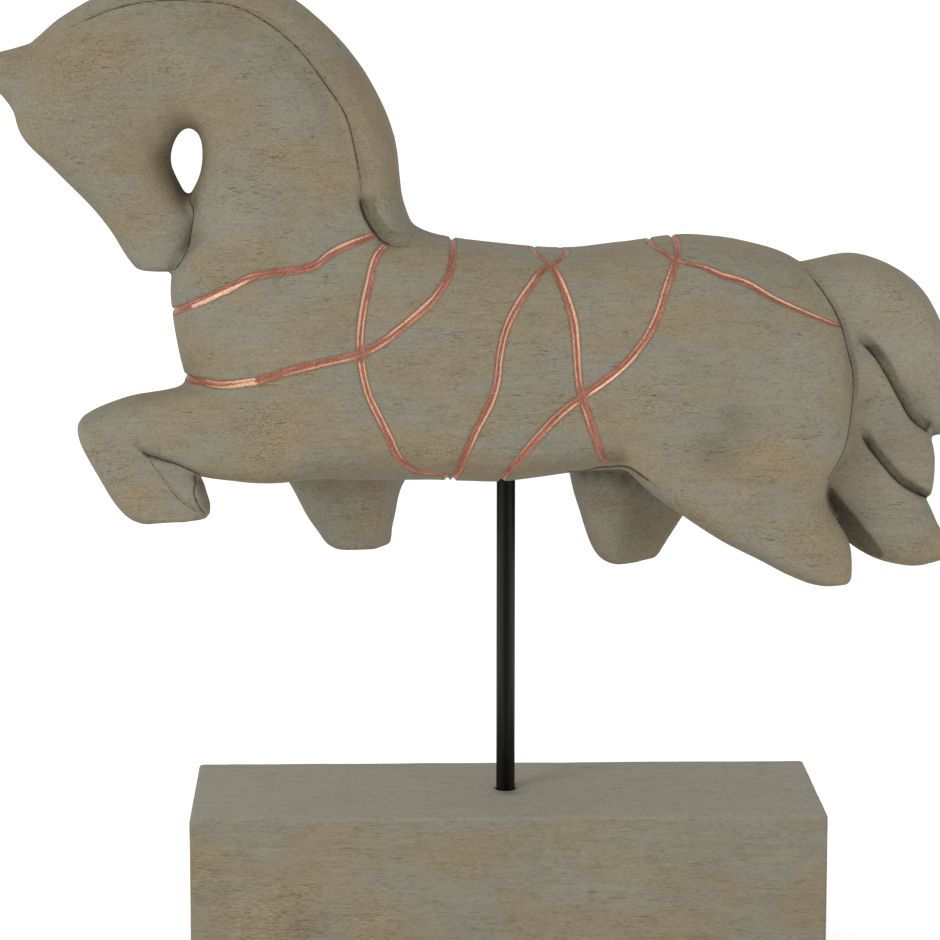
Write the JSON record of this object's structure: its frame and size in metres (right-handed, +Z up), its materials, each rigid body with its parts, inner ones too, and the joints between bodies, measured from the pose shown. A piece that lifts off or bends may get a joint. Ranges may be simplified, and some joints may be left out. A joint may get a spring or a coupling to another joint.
{
  "type": "horse sculpture",
  "caption": "Carved wooden horse at full gallop, wound with copper-painted grooves, held over a rectangular wooden block by a black steel rod.",
  "frame": {"origin": "centre of the block's underside, below the rod's axis", "axes": "+Z up along the rod; -X is the way the horse faces; -Y is the side of the horse's raised foreleg; +Y across the block"},
  "size_m": [0.4116, 0.094, 0.4232],
  "materials": {
    "carved_wood": "grey-olive wash, matt, with copper paint in the grooves",
    "block_wood": "grey-olive wash, matt, sawn",
    "black_steel": "satin black"
  },
  "bodies": {
    "root": {"horse": "carved_wood", "rod": "black_steel", "base_block": "block_wood"}
  },
  "joints": []
}
